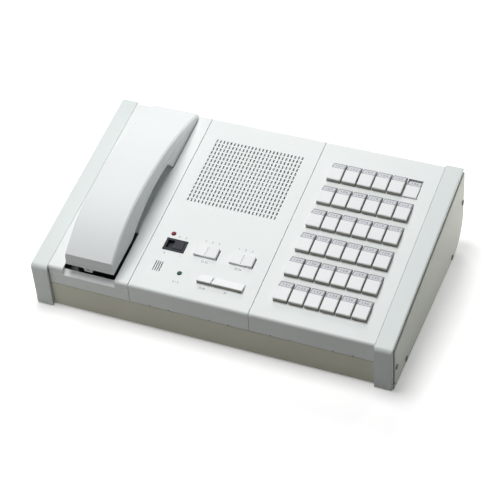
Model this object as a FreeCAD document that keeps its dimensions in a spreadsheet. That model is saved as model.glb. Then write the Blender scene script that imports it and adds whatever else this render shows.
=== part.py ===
"""Desk intercom dispatch console: a wedge body with a handset, a loudspeaker panel and six rows of keys."""
import FreeCAD, Part
import math
import os
import Sketcher

# Driving sizes, in millimetres and degrees. X runs left to right, Y front to back and Z up from the table.
# The sloping top has a frame of its own: x as before, s up the slope from the front edge and n square to it.
SIZES = {
    # Body
    "body_width": 367.0,
    "body_depth": 220.0,
    "front_height": 51.0,
    "rear_height": 91.5,
    "rear_corner_radius": 35.0,
    "free_gap": 0.3,
    # End cheeks and their side plates
    "cheek_width": 17.5,
    "cheek_proud": 3.5,
    "cheek_ground": 1.0,
    "cheek_nose_radius": 5.0,
    "cheek_edge_radius": 1.5,
    "cheek_wall": 3.0,
    "cheek_hollow_depth": 11.0,
    "rim_thickness": 2.0,
    "recess_depth": 3.0,
    "reveal_width": 2.6,
    "plate_proud": 1.2,
    "plate_toe_height": 5.0,
    "plate_edge": 0.6,
    # Screws of the side plates
    "screw_head_radius": 2.7,
    "screw_head_height": 0.9,
    "screw_shank_radius": 1.5,
    "screw_length": 11.0,
    "screw_clearance": 0.15,
    "front_screw_setback": 9.5,
    "front_screw_height": 24.5,
    "toe_screw_setback": 38.5,
    "low_screw_height": 6.5,
    "tail_screw_setback": 36.0,
    "rear_screw_setback": 4.5,
    "rear_screw_height": 52.0,
    # Base pan and feet
    "base_ground": 2.0,
    "base_wall": 2.0,
    "tongue_height": 3.2,
    "foot_radius": 7.0,
    "foot_height": 3.0,
    "foot_inset_x": 26.0,
    "foot_inset_y": 46.0,
    "vent_width": 3.0,
    "vent_height": 20.0,
    "vent_pitch": 8.0,
    "vent_count": 10.0,
    "vent_middle_x": 95.0,
    "vent_middle_z": 58.0,
    # Top panels
    "panel_wall": 2.5,
    "panel_edge_radius": 3.0,
    "panel_side_depth": 8.0,
    "panel_side_wall": 1.6,
    "lip_height": 21.4,
    "lip_seam": 0.5,
    "rear_lip_height": 12.0,
    "seam_gap": 0.6,
    "cradle_width": 85.4,
    "tab_notch_width": 1.4,
    "tab_notch_height": 1.4,
    "tab_inner": 21.0,
    "tab_outer": 40.5,
    # Wells for the handset
    "well_width": 55.0,
    "well_wall": 2.2,
    "well_clearance": 0.7,
    "front_well_shift": 2.05,
    "front_well_front": 7.8,
    "front_well_length": 56.3,
    "front_well_depth": 14.0,
    "sill_drop": 4.0,
    "sill_fall": 4.0,
    "rear_well_depth": 9.0,
    # Handset
    "handset_width": 50.6,
    "handset_middle_x": -120.4,
    "handset_front": 6.8,
    "handset_rear": 219.3,
    "handset_edge": 1.5,
    "end_face_lean": 3.0,
    "end_face_low": 6.0,
    "end_face_high": 18.5,
    "crown_s": 82.0,
    "crown_height": 36.6,
    "tail_height": 6.0,
    "tail_split": 2.6,
    "tail_clearance": 0.6,
    "tail_undercut": 5.8,
    "arch_front": 52.0,
    "arch_front_height": 5.6,
    "arch_rear": 143.5,
    "arch_rear_height": 13.4,
    "arch_radius": 150.0,
    "arch_step_run": 7.4,
    "shell_skirt": 4.2,
    "handset_wall": 2.0,
    "tongue_play": 0.1,
    "mouth_block_front": 15.0,
    "mouth_block_length": 40.0,
    "mouth_block_width": 40.0,
    "jack_width": 8.0,
    "jack_length": 6.5,
    "jack_drop": 6.0,
    "jack_setback": 0.8,
    "jack_offset_x": -3.1,
    "jack_hole_width": 5.0,
    "jack_hole_height": 3.0,
    "jack_hole_depth": 4.0,
    "ear_middle": 187.0,
    "ear_dish_radius": 19.0,
    "ear_dish_depth": 1.0,
    "ear_hole_radius": 1.2,
    "ear_hole_circle": 8.0,
    "capsule_radius": 16.0,
    "capsule_thickness": 5.5,
    "mouth_slot_length": 14.0,
    "mouth_slot_width": 1.6,
    "mouth_slot_pitch": 4.0,
    "mic_radius": 8.0,
    "mic_thickness": 6.0,
    # Hook plunger
    "plunger_width": 8.0,
    "plunger_from_well": 7.0,
    "plunger_skirt": 12.0,
    # Loudspeaker grille
    "grille_columns": 25.0,
    "grille_rows": 16.0,
    "grille_pitch_x": 3.82,
    "grille_pitch_s": 5.2,
    "grille_slot_width": 1.55,
    "grille_slot_length": 3.8,
    "grille_middle_s": 155.9,
    "speaker_radius": 38.0,
    "speaker_flange": 2.0,
    "speaker_basket_depth": 14.0,
    "basket_radius": 26.0,
    "magnet_radius": 20.0,
    "magnet_height": 10.0,
    # Circuit board
    "board_depth": 16.0,
    "board_thickness": 1.6,
    "board_margin": 9.0,
    "board_shoulder_s": 104.0,
    "switch_width": 9.0,
    "switch_height": 6.0,
    "boss_radius": 3.5,
    "boss_inset": 6.0,
    # Selector keys
    "key_columns": 6.0,
    "key_rows": 6.0,
    "key_pitch_x": 15.45,
    "key_pitch_s": 29.9,
    "key_width": 13.9,
    "key_length": 23.0,
    "key_cap_length": 14.0,
    "key_front_height": 4.6,
    "key_rear_height": 0.9,
    "key_edge": 0.5,
    "key_wall": 1.2,
    "key_hollow_drop": 0.6,
    "key_ledge": 0.8,
    "key_ledge_thickness": 1.4,
    "key_slot_clearance": 0.3,
    "key_field_offset": 0.7,
    "key_front_s": 25.0,
    "key_travel": 3.0,
    "stem_width": 4.4,
    "stem_reach": 2.0,
    # Short and long call keys
    "call_key_front_s": 24.6,
    "call_key_length": 9.2,
    "call_key_height": 4.0,
    "short_key_width": 14.2,
    "short_key_x": -10.4,
    "long_key_width": 31.4,
    "long_key_x": 13.1,
    # Rocker keys
    "rocker_width": 22.8,
    "rocker_length": 11.8,
    "rocker_s": 59.9,
    "left_rocker_x": -21.2,
    "right_rocker_x": 15.8,
    "rocker_end_height": 3.0,
    "rocker_dip": 0.7,
    "rocker_groove": 1.4,
    "rocker_wing_depth": 1.5,
    "rocker_slot_clearance": 0.9,
    "rocker_pivot_depth": 6.0,
    "rocker_pin_radius": 1.5,
    "rocker_pin_clearance": 0.06,
    "rocker_ear_thickness": 1.6,
    "rocker_ear_width": 6.0,
    # Slide switch
    "bezel_width": 22.2,
    "bezel_length": 14.4,
    "bezel_height": 0.8,
    "bezel_rim": 1.1,
    "bezel_well_depth": 3.4,
    "bezel_body_depth": 8.0,
    "slide_x": -54.3,
    "knob_width": 9.6,
    "knob_height": 1.7,
    "rib_count": 5.0,
    "rib_depth": 0.5,
    # Lamps and built-in microphone
    "lamp_radius": 2.4,
    "lamp_height": 0.8,
    "lamp_clearance": 0.15,
    "lamp_lead": 0.6,
    "lamp_flange": 1.2,
    "lamp_body": 5.0,
    "red_lamp_x": -61.4,
    "red_lamp_s": 72.9,
    "green_lamp_x": -37.6,
    "green_lamp_s": 30.2,
    "mic_slot_x": -61.3,
    "mic_slot_s": 32.8,
    "mic_slot_width": 1.0,
    "mic_slot_length": 12.0,
    "mic_slot_pitch": 2.2,
    "mic_slot_count": 4.0,
    # Socket in the rear wall
    "socket_width": 62.0,
    "socket_height": 15.0,
    "socket_middle_x": -95.0,
    "socket_middle_z": 48.0,
    "socket_mouth_width": 46.0,
    "socket_mouth_height": 9.0,
    "socket_mouth_depth": 7.0,
    "socket_flange": 1.5,
}
LATCHED_ROW = 5
LATCHED_COLUMN = 5
EAR_RING_HOLES = 6
MOUTH_SLOTS = 3
SCREW_SIDES = 12
POST_SIDES = 8
DISC_SIDES = 16
FAILED_STATES = ("Invalid", "Error")
SAME_PLACE = 0.02


class Size:
    """A number together with the formula that ties it to the sheet of sizes."""

    def __init__(self, value, formula):
        self.value = float(value)
        self.formula = formula

    def joined(self, sign, other, value):
        return Size(value, "(%s %s %s)" % (self.formula, sign, other.formula))

    def __add__(self, other):
        other = as_size(other)
        return self.joined("+", other, self.value + other.value)

    def __sub__(self, other):
        other = as_size(other)
        return self.joined("-", other, self.value - other.value)

    def __mul__(self, other):
        other = as_size(other)
        return self.joined("*", other, self.value * other.value)

    def __truediv__(self, other):
        other = as_size(other)
        return self.joined("/", other, self.value / other.value)

    def __radd__(self, other):
        return as_size(other) + self

    def __rsub__(self, other):
        return as_size(other) - self

    def __rmul__(self, other):
        return as_size(other) * self

    def __neg__(self):
        return as_size(0) - self


def as_size(number):
    """A plain number as a size, so that both can stand in one formula."""
    if isinstance(number, Size):
        return number
    text = "%.6g" % number
    return Size(number, "(%s)" % text if number < 0 else text)


def sine(angle):
    return Size(math.sin(math.radians(angle.value)), "sin(%s)" % angle.formula)


def cosine(angle):
    return Size(math.cos(math.radians(angle.value)), "cos(%s)" % angle.formula)


def slope_of(rise, run):
    return Size(math.degrees(math.atan2(rise.value, run.value)), "atan(%s / %s)" % (rise.formula, run.formula))


class SizeSheet:
    """The spreadsheet of driving sizes, with one attribute for each of its named cells."""

    def __init__(self, doc):
        sheet = doc.addObject("Spreadsheet::Sheet", "Sizes")
        for row, (name, number) in enumerate(SIZES.items(), start=1):
            sheet.set("A%d" % row, name)
            sheet.set("B%d" % row, "%.6g" % number)
            sheet.setAlias("B%d" % row, name)
            setattr(self, name, Size(number, "Sizes.%s" % name))


doc = FreeCAD.newDocument("Console")
size = SizeSheet(doc)
doc.recompute()

# Places that several pieces share
slope = slope_of(size.rear_height - size.front_height, size.body_depth)
slope_sin = sine(slope)
slope_cos = cosine(slope)
slope_rise = slope_sin / slope_cos
slope_length = size.body_depth / slope_cos
half_width = size.body_width / 2
half_depth = size.body_depth / 2
inner_half = half_width - size.cheek_width
panel_front = size.cheek_proud / slope_cos
cradle_left = -inner_half + size.seam_gap / 2
cradle_right = -inner_half + size.cradle_width - size.seam_gap / 2
module_width = (2 * inner_half - size.cradle_width) / 2
control_left = cradle_right + size.seam_gap
control_right = control_left + module_width - size.seam_gap
key_panel_left = control_right + size.seam_gap
key_panel_right = inner_half - size.seam_gap / 2
control_middle = (control_left + control_right) / 2
key_field_middle = (key_panel_left + key_panel_right) / 2 + size.key_field_offset
lip_bottom = size.front_height - size.lip_height + size.cheek_proud * slope_rise
board_top = -size.board_depth


def bind(item, name, amount):
    """Ties one property of an object to its formula."""
    item.setExpression(name, as_size(amount).formula)


def new_body(name, on_slope=True):
    """A body whose frame is either the table's or the sloping top's."""
    body = doc.addObject("PartDesign::Body", name)
    body.Label = name
    if on_slope:
        turn = FreeCAD.Rotation(FreeCAD.Vector(1, 0, 0), slope.value)
        body.Placement = FreeCAD.Placement(FreeCAD.Vector(0, -half_depth.value, size.front_height.value), turn)
        bind(body, "Placement.Base.y", -half_depth)
        bind(body, "Placement.Base.z", size.front_height)
        bind(body, "Placement.Rotation.Angle", slope)
    return body


def new_sketch(body, plane, offset=0):
    """An empty sketch on one of the body's origin planes, moved along that plane's normal."""
    sketch = body.newObject("Sketcher::SketchObject", body.Name + "_sketch")
    support = [item for item in body.Origin.OriginFeatures if item.Role == plane][0]
    sketch.AttachmentSupport = [(support, "")]
    sketch.MapMode = "FlatFace"
    offset = as_size(offset)
    sketch.AttachmentOffset = FreeCAD.Placement(FreeCAD.Vector(0, 0, offset.value), FreeCAD.Rotation())
    bind(sketch, "AttachmentOffset.Base.z", offset)
    return sketch


def fix_point(sketch, element, end, x, y):
    """Holds one point of a sketch at two bound distances from the origin."""
    for kind, amount in (("DistanceX", x), ("DistanceY", y)):
        amount = as_size(amount)
        index = sketch.addConstraint(Sketcher.Constraint(kind, element, end, amount.value))
        bind(sketch, "Constraints[%d]" % index, amount)


def arc_through(start, end, radius, bulge):
    """The arc between two points with a given radius; bulge is 1 for the left of the way and -1 for the right."""
    chord = end.sub(start)
    half = chord.Length / 2
    side = FreeCAD.Vector(-chord.y, chord.x, 0).normalize() * bulge
    rise = radius - math.sqrt(radius * radius - half * half)
    return Part.Arc(start, start.add(chord * 0.5).add(side * rise), end)


def add_outline(sketch, corners, arcs=None):
    """A closed loop through bound corners; arcs gives {first corner: (radius, bulge)} for its round stretches."""
    arcs = arcs or {}
    first = sketch.GeometryCount
    points = [FreeCAD.Vector(as_size(x).value, as_size(y).value, 0) for x, y in corners]
    ends = []
    for index, start in enumerate(points):
        end = points[(index + 1) % len(points)]
        if index in arcs:
            radius, bulge = arcs[index]
            sketch.addGeometry(arc_through(start, end, as_size(radius).value, bulge), False)
            # An arc runs anticlockwise, so one that bulges right keeps its ends and the other swaps them
            ends.append((1, 2) if bulge < 0 else (2, 1))
        else:
            sketch.addGeometry(Part.LineSegment(start, end), False)
            ends.append((1, 2))
    for index, (x, y) in enumerate(corners):
        following = (index + 1) % len(points)
        join = Sketcher.Constraint("Coincident", first + index, ends[index][1], first + following, ends[following][0])
        sketch.addConstraint(join)
        fix_point(sketch, first + index, ends[index][0], x, y)
    for index, (radius, bulge) in arcs.items():
        radius = as_size(radius)
        number = sketch.addConstraint(Sketcher.Constraint("Radius", first + index, radius.value))
        bind(sketch, "Constraints[%d]" % number, radius)


def add_box(sketch, x_middle, y_low, width, height):
    """A rectangle, centred on x_middle and rising from y_low."""
    x_low = x_middle - width / 2
    x_high = x_middle + width / 2
    y_high = y_low + height
    add_outline(sketch, [(x_low, y_low), (x_high, y_low), (x_high, y_high), (x_low, y_high)])


def add_circle(sketch, x, y, radius):
    """A full circle with a bound middle and radius."""
    x, y, radius = as_size(x), as_size(y), as_size(radius)
    index = sketch.addGeometry(
        Part.Circle(FreeCAD.Vector(x.value, y.value, 0), FreeCAD.Vector(0, 0, 1), radius.value), False)
    fix_point(sketch, index, 3, x, y)
    number = sketch.addConstraint(Sketcher.Constraint("Radius", index, radius.value))
    bind(sketch, "Constraints[%d]" % number, radius)


def add_polygon(sketch, x, y, radius, sides):
    """A small round outline with few sides, its corners on the circle."""
    corners = []
    for step in range(sides):
        turn = as_size(360 * (step + 0.5) / sides)
        corners.append((x + radius * cosine(turn), y + radius * sine(turn)))
    add_outline(sketch, corners)


def settle(body, feature):
    """Works out a new feature and makes it the newest state of its body."""
    body.Tip = feature
    doc.recompute()
    if not feature.isValid():
        raise RuntimeError("%s of %s failed" % (feature.Label, body.Label))


def add_feature(body, kind, sketch, length, both_ways=False, backwards=False):
    """Pads or pockets a sketch by a bound length and checks that the solid really changed."""
    before = body.Tip.Shape.Volume if body.Tip else 0.0
    feature = body.newObject("PartDesign::" + kind, body.Name + "_" + kind.lower())
    feature.Profile = sketch
    length = as_size(length)
    feature.Length = length.value
    bind(feature, "Length", length)
    feature.Midplane = both_ways
    feature.Reversed = backwards
    settle(body, feature)
    if abs(feature.Shape.Volume - before) < 1e-6:
        raise RuntimeError("%s of %s changes nothing" % (kind, body.Label))
    return feature


def pad(body, sketch, length, both_ways=False, backwards=False):
    return add_feature(body, "Pad", sketch, length, both_ways, backwards)


def pocket(body, sketch, length, both_ways=False, backwards=False):
    return add_feature(body, "Pocket", sketch, length, both_ways, backwards)


def box_pad(body, plane, offset, x_middle, y_low, width, height, length, backwards=False):
    """One rectangular block, padded from an origin plane moved by offset."""
    sketch = new_sketch(body, plane, offset)
    add_box(sketch, x_middle, y_low, width, height)
    return pad(body, sketch, length, backwards=backwards)


def box_pocket(body, plane, offset, x_middle, y_low, width, height, length, backwards=False):
    """One rectangular hole, cut from an origin plane moved by offset."""
    sketch = new_sketch(body, plane, offset)
    add_box(sketch, x_middle, y_low, width, height)
    return pocket(body, sketch, length, backwards=backwards)


def round_pad(body, plane, offset, x, y, radius, length, backwards=False):
    """One round post, padded from an origin plane moved by offset."""
    sketch = new_sketch(body, plane, offset)
    add_circle(sketch, x, y, radius)
    return pad(body, sketch, length, backwards=backwards)


def polygon_pad(body, plane, offset, x, y, radius, length, sides, backwards=False):
    """One round post with few sides, padded from an origin plane moved by offset."""
    sketch = new_sketch(body, plane, offset)
    add_polygon(sketch, x, y, radius, sides)
    return pad(body, sketch, length, backwards=backwards)


def pattern(body, original, steps):
    """Repeats a feature along one or two of the body's axes; steps are (axis, count, pitch)."""
    feature = body.newObject("PartDesign::LinearPattern", body.Name + "_pattern")
    feature.Originals = [original]
    feature.Refine = False
    for (axis, count, pitch), suffix in zip(steps, ("", "2")):
        line = [item for item in body.Origin.OriginFeatures if item.Role == axis][0]
        setattr(feature, "Direction" + suffix, (line, [""]))
        setattr(feature, "Length" + suffix, ((count - 1) * pitch).value)
        setattr(feature, "Occurrences" + suffix, int(count.value))
        bind(feature, "Length" + suffix, (count - 1) * pitch)
        bind(feature, "Occurrences" + suffix, count)
    settle(body, feature)
    return feature


def dress_edges(body, kind, amount, wanted):
    """Fillets or chamfers the edges of the newest feature that the test picks by their middle and direction."""
    base = body.Tip
    names = []
    for index, edge in enumerate(base.Shape.Edges, start=1):
        middle = edge.valueAt((edge.FirstParameter + edge.LastParameter) / 2)
        start, end = edge.valueAt(edge.FirstParameter), edge.valueAt(edge.LastParameter)
        if wanted(middle, start, end):
            names.append("Edge%d" % index)
    feature = body.newObject("PartDesign::" + kind, body.Name + "_" + kind.lower())
    feature.Base = (base, names)
    name = "Radius" if kind == "Fillet" else "Size"
    setattr(feature, name, as_size(amount).value)
    bind(feature, name, amount)
    settle(body, feature)
    return feature


def near(value, amount):
    return abs(value - as_size(amount).value) < SAME_PLACE


# End cheeks: a wedge-shaped slab with a rimmed recess outside and a hollow inside
def top_line(y, drop):
    """Height of the sloping top at a depth y, lowered squarely by drop."""
    return size.front_height + (y + half_depth) * slope_rise - drop / slope_cos


def make_cheek(name, side):
    body = new_body(name, on_slope=False)
    x_low = inner_half if side > 0 else -half_width
    x_outer = side * half_width
    x_inner = side * inner_half
    sketch = new_sketch(body, "YZ_Plane", x_low)
    add_outline(sketch, [
        (-half_depth, size.cheek_ground),
        (-half_depth, size.front_height),
        (half_depth, size.rear_height),
        (half_depth, size.cheek_ground + size.rear_corner_radius),
        (half_depth - size.rear_corner_radius, size.cheek_ground),
    ], {3: (size.rear_corner_radius, 1)})
    pad(body, sketch, size.cheek_width)
    dress_edges(body, "Fillet", size.cheek_nose_radius, lambda middle, start, end: (
        near(middle.y, -half_depth) and near(middle.z, size.front_height) and abs(start.x - end.x) > 1))
    dress_edges(body, "Fillet", size.cheek_edge_radius, lambda middle, start, end: (
        near(start.x, x_outer) and near(end.x, x_outer)
        and (near(middle.y, -half_depth) or middle.z > top_line(as_size(middle.y), size.cheek_nose_radius).value)))
    front = -half_depth + size.rim_thickness
    beyond = half_depth + size.cheek_width
    below = as_size(-size.cheek_width)
    recess = new_sketch(body, "YZ_Plane", x_outer)
    add_outline(recess, [
        (front, below),
        (front, top_line(front, size.rim_thickness)),
        (beyond, top_line(beyond, size.rim_thickness)),
        (beyond, below),
    ])
    pocket(body, recess, size.recess_depth, backwards=side < 0)
    inner_front = -half_depth + size.cheek_wall
    inner_rear = half_depth - size.cheek_wall
    floor = size.cheek_ground + size.cheek_wall
    hollow_radius = size.rear_corner_radius - size.cheek_wall
    hollow = new_sketch(body, "YZ_Plane", x_inner)
    add_outline(hollow, [
        (inner_front, floor),
        (inner_front, top_line(inner_front, size.cheek_nose_radius)),
        (inner_rear, top_line(inner_rear, size.cheek_nose_radius)),
        (inner_rear, floor + hollow_radius),
        (inner_rear - hollow_radius, floor),
    ], {3: (hollow_radius, 1)})
    pocket(body, hollow, size.cheek_hollow_depth, backwards=side > 0)
    drill_screw_holes(body, side, x_outer, size.cheek_width)
    return body


def screw_places():
    """Depth and height of the four screws of a side plate."""
    return [
        (-half_depth + size.front_screw_setback, size.front_screw_height),
        (-half_depth + size.toe_screw_setback, size.low_screw_height),
        (half_depth - size.tail_screw_setback, size.low_screw_height),
        (half_depth - size.rear_screw_setback, size.rear_screw_height),
    ]


def drill_screw_holes(body, side, x_face, depth):
    """Clearance holes for the screws of a side plate, drilled inwards from x_face."""
    sketch = new_sketch(body, "YZ_Plane", x_face)
    for y, z in screw_places():
        add_polygon(sketch, y, z, size.screw_shank_radius + size.screw_clearance, POST_SIDES)
    pocket(body, sketch, depth, backwards=side < 0)


left_cheek = make_cheek("left_cheek", -1)
right_cheek = make_cheek("right_cheek", 1)


# Side plates, set back from the rim so that a dark reveal shows around them
def make_side_plate(name, side):
    body = new_body(name, on_slope=False)
    thickness = size.recess_depth + size.plate_proud
    x_face = side * (half_width + size.plate_proud)
    x_low = half_width - size.recess_depth if side > 0 else x_face
    toe = -half_depth + size.rim_thickness + size.free_gap
    front = -half_depth + size.rim_thickness + size.reveal_width
    set_back = size.rim_thickness + size.reveal_width
    toe_top = size.cheek_ground + size.plate_toe_height
    sketch = new_sketch(body, "YZ_Plane", x_low)
    add_outline(sketch, [
        (toe, size.cheek_ground),
        (toe, toe_top),
        (front, toe_top),
        (front, top_line(front, set_back)),
        (half_depth, top_line(half_depth, set_back)),
        (half_depth, size.cheek_ground + size.rear_corner_radius),
        (half_depth - size.rear_corner_radius, size.cheek_ground),
    ], {5: (size.rear_corner_radius, 1)})
    pad(body, sketch, thickness)
    dress_edges(body, "Chamfer", size.plate_edge, lambda middle, start, end: (
        near(start.x, x_face) and near(end.x, x_face) and not near(middle.y, toe)))
    drill_screw_holes(body, side, x_face, thickness)
    return body


def make_screw_set(name, side):
    """Four pan-head screws, each a head on a shank, drawn as two pads."""
    x_face = side * (half_width + size.plate_proud)
    parts = []
    for number, (y, z) in enumerate(screw_places(), start=1):
        body = new_body("%s_%d" % (name, number), on_slope=False)
        polygon_pad(body, "YZ_Plane", x_face, y, z, size.screw_head_radius, size.screw_head_height,
                    SCREW_SIDES, side < 0)
        polygon_pad(body, "YZ_Plane", x_face, y, z, size.screw_shank_radius, size.screw_length,
                    POST_SIDES, side > 0)
        parts.append(body)
    return parts


side_plates = [make_side_plate("left_side_plate", -1), make_side_plate("right_side_plate", 1)]
side_screws = make_screw_set("left_screw", -1) + make_screw_set("right_screw", 1)


# Base pan: floor, front and rear wall in one, with tongues that reach up inside the lips of the panels
def make_base_pan():
    body = new_body("base_pan", on_slope=False)
    outer_front = -half_depth + size.cheek_proud
    outer_rear = half_depth
    front_top = lip_bottom - size.lip_seam
    rear_top = size.rear_height - size.rear_lip_height - size.lip_seam
    floor_top = size.base_ground + size.base_wall
    inner_radius = size.rear_corner_radius - size.base_wall
    tongue_front = outer_front + size.panel_wall
    tongue_rear = outer_rear - size.panel_wall
    sketch = new_sketch(body, "YZ_Plane", -inner_half)
    add_outline(sketch, [
        (outer_front, size.base_ground),
        (outer_front, front_top),
        (tongue_front, front_top),
        (tongue_front, front_top + size.tongue_height),
        (tongue_front + size.base_wall, front_top + size.tongue_height),
        (tongue_front + size.base_wall, front_top - size.base_wall),
        (outer_front + size.base_wall, front_top - size.base_wall),
        (outer_front + size.base_wall, floor_top),
        (outer_rear - size.rear_corner_radius, floor_top),
        (outer_rear - size.base_wall, floor_top + inner_radius),
        (outer_rear - size.base_wall, rear_top - size.base_wall),
        (tongue_rear - size.base_wall, rear_top - size.base_wall),
        (tongue_rear - size.base_wall, rear_top + size.tongue_height),
        (tongue_rear, rear_top + size.tongue_height),
        (tongue_rear, rear_top),
        (outer_rear, rear_top),
        (outer_rear, size.base_ground + size.rear_corner_radius),
        (outer_rear - size.rear_corner_radius, size.base_ground),
    ], {8: (inner_radius, -1), 16: (size.rear_corner_radius, 1)})
    pad(body, sketch, 2 * inner_half)
    box_pocket(body, "XZ_Plane", -outer_rear, size.socket_middle_x, size.socket_middle_z - size.socket_height / 2,
               size.socket_width, size.socket_height, 2 * size.base_wall, backwards=True)
    first_vent = size.vent_middle_x - (size.vent_count - 1) * size.vent_pitch / 2
    vent = box_pocket(body, "XZ_Plane", -outer_rear, first_vent, size.vent_middle_z - size.vent_height / 2,
                      size.vent_width, size.vent_height, 2 * size.base_wall, backwards=True)
    pattern(body, vent, [("X_Axis", size.vent_count, size.vent_pitch)])
    sketch = new_sketch(body, "XY_Plane", size.base_ground)
    for x, y in foot_places():
        add_polygon(sketch, x, y, size.foot_radius + size.screw_clearance, DISC_SIDES)
    pocket(body, sketch, size.foot_height - size.base_ground, backwards=True)
    return body


def foot_places():
    x = half_width - size.foot_inset_x
    y = half_depth - size.foot_inset_y
    return [(-x, -y), (x, -y), (-x, y), (x, y)]


def make_feet():
    parts = []
    for number, (x, y) in enumerate(foot_places(), start=1):
        body = new_body("foot_%d" % number, on_slope=False)
        polygon_pad(body, "XY_Plane", 0, x, y, size.foot_radius, size.foot_height, DISC_SIDES)
        dress_edges(body, "Chamfer", size.foot_height / 5, lambda middle, start, end: near(middle.z, 0))
        parts.append(body)
    return parts


def make_rear_socket():
    """Connector housing behind the rear wall: a flange inside, a snout in the opening and a keyed mouth."""
    body = new_body("rear_socket", on_slope=False)
    inner_face = half_depth - size.base_wall
    low = size.socket_middle_z - size.socket_height / 2
    flange = size.socket_flange
    box_pad(body, "XZ_Plane", -inner_face, size.socket_middle_x, low - 2 * flange,
            size.socket_width + 4 * flange, size.socket_height + 4 * flange, flange)
    box_pad(body, "XZ_Plane", -inner_face, size.socket_middle_x, low + size.free_gap,
            size.socket_width - 2 * size.free_gap, size.socket_height - 2 * size.free_gap,
            size.base_wall - size.free_gap, backwards=True)
    box_pad(body, "XZ_Plane", -inner_face, size.socket_middle_x, size.socket_middle_z - size.socket_mouth_height,
            size.socket_mouth_width + 2 * size.base_wall, 2 * size.socket_mouth_height, 2 * size.socket_mouth_depth)
    mouth_low = size.socket_middle_z - size.socket_mouth_height / 2
    box_pocket(body, "XZ_Plane", -half_depth, size.socket_middle_x, mouth_low,
               size.socket_mouth_width, size.socket_mouth_height, size.socket_mouth_depth + size.base_wall,
               backwards=True)
    box_pad(body, "XZ_Plane", -inner_face + size.socket_mouth_depth + flange, size.socket_middle_x,
            size.socket_middle_z - flange, size.socket_mouth_width - 4 * flange, 2 * flange,
            size.socket_mouth_depth + flange, backwards=True)
    return body


base_pan = make_base_pan()
feet = make_feet()
rear_socket = make_rear_socket()


# Top panels: a sloping plate with an upright lip in front and behind and a flange along each side
def make_panel(name, left, right):
    body = new_body(name)
    wall = size.panel_wall
    front_drop = size.front_height - lip_bottom + size.cheek_proud * slope_rise
    rear_drop = size.rear_lip_height
    inner_front = panel_front + wall * (1 - slope_sin) / slope_cos
    inner_rear = slope_length - wall * (1 + slope_sin) / slope_cos
    sketch = new_sketch(body, "YZ_Plane", left)
    add_outline(sketch, [
        (panel_front, 0),
        (slope_length, 0),
        (slope_length - rear_drop * slope_sin, -rear_drop * slope_cos),
        (slope_length - rear_drop * slope_sin - wall * slope_cos, wall * slope_sin - rear_drop * slope_cos),
        (inner_rear, -wall),
        (inner_front, -wall),
        (panel_front - front_drop * slope_sin + wall * slope_cos, -front_drop * slope_cos - wall * slope_sin),
        (panel_front - front_drop * slope_sin, -front_drop * slope_cos),
    ])
    pad(body, sketch, right - left)
    dress_edges(body, "Fillet", size.panel_edge_radius, lambda middle, start, end: (
        near(middle.z, 0) and (near(middle.y, panel_front) or near(middle.y, slope_length))
        and abs(start.x - end.x) > 1))
    sketch = new_sketch(body, "XY_Plane", -size.panel_side_depth)
    for middle in (left + size.panel_side_wall / 2, right - size.panel_side_wall / 2):
        add_box(sketch, middle, inner_front, size.panel_side_wall, inner_rear - inner_front)
    pad(body, sketch, size.panel_side_depth - wall / 2)
    return body


def cut_tab_notches(body, middle):
    """Small notches under the front lip on both sides of its snap tabs."""
    sketch = new_sketch(body, "XZ_Plane", 0)
    for offset in (-size.tab_outer, -size.tab_inner, size.tab_inner, size.tab_outer):
        add_box(sketch, middle + offset, -size.front_height, size.tab_notch_width,
                size.front_height - (size.front_height - lip_bottom - size.tab_notch_height) / slope_cos)
    pocket(body, sketch, 4 * size.panel_wall, both_ways=True)


def hang_bosses(body, places):
    """Round bosses under a panel that end on the circuit board."""
    sketch = new_sketch(body, "XY_Plane", board_top)
    for x, s in places:
        add_polygon(sketch, x, s, size.boss_radius, POST_SIDES)
    pad(body, sketch, size.board_depth - size.panel_wall / 2)


key_row_front = size.key_front_s
key_rear_front = size.key_front_s + (size.key_rows - 1) * size.key_pitch_s
first_column = key_field_middle - (size.key_columns - 1) * size.key_pitch_x / 2
board_front = size.board_margin + size.panel_wall
board_rear = key_rear_front + size.key_length + size.board_margin / 2
board_left = control_left + size.board_margin
board_right = key_panel_right - size.board_margin / 2
board_shoulder = key_panel_left + size.board_margin / 2


def make_key_panel():
    body = make_panel("key_panel", key_panel_left, key_panel_right)
    cut_tab_notches(body, (key_panel_left + key_panel_right) / 2)
    clearance = size.key_slot_clearance
    slot = box_pocket(body, "XY_Plane", 0, first_column, key_row_front - clearance,
                      size.key_width + 2 * clearance, size.key_length + 2 * clearance, 2 * size.panel_wall)
    pattern(body, slot, [("X_Axis", size.key_columns, size.key_pitch_x), ("Y_Axis", size.key_rows, size.key_pitch_s)])
    gap_middle = key_row_front - (size.key_pitch_s - size.key_length) / 2
    rear_middle = gap_middle + (size.key_rows - 1) * size.key_pitch_s
    places = []
    for x in (board_shoulder + size.boss_radius / 2, board_right - size.boss_radius):
        places.append((x, gap_middle + size.key_pitch_s))
        places.append((x, rear_middle))
    hang_bosses(body, places)
    return body


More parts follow.
